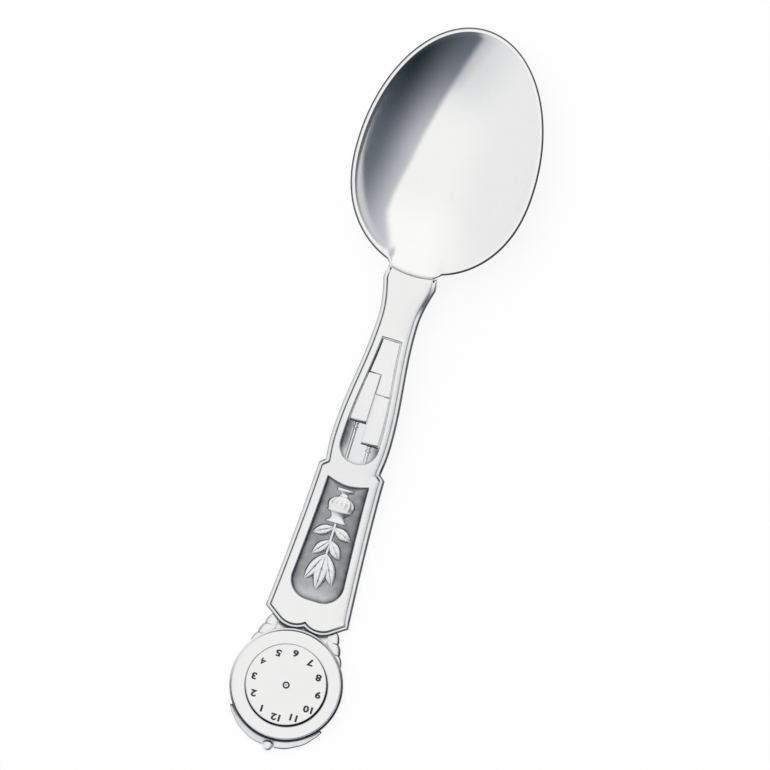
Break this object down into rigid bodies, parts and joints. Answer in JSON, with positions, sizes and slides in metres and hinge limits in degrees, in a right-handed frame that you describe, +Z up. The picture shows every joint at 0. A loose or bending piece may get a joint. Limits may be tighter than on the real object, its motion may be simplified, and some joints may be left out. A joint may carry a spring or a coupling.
{
  "type": "baby spoon",
  "caption": "Baby spoon with an egg-shaped bowl and a handle made as a long-case clock with a dial, a window relief and hanging weights.",
  "frame": {"origin": "middle of the spoon's bounding box, on the table plane that the bowl and the back of the head rest on", "axes": "+X across the spoon, +Y from the handle's end to the bowl's tip, +Z up out of the bowl"},
  "size_m": [0.0366, 0.15, 0.0097],
  "materials": {
    "bowl_silver": "polished",
    "handle_silver": "polished",
    "back_silver": "polished",
    "dial_silver": "polished",
    "carved_silver": "polished"
  },
  "bodies": {
    "root": {"bowl": "bowl_silver", "handle_back": "back_silver", "handle_front": "handle_silver", "weight_rear": "handle_silver", "weight_left": "handle_silver", "weight_right": "handle_silver", "rod_left": "handle_silver", "rod_right": "handle_silver", "relief_urn": "carved_silver", "relief_leaves": "carved_silver", "relief_bloom": "carved_silver", "scroll_left": "carved_silver", "scroll_right": "carved_silver", "crest": "carved_silver", "crest_bead": "carved_silver", "bezel": "dial_silver", "dial": "dial_silver", "dial_rivet": "dial_silver"}
  },
  "joints": []
}
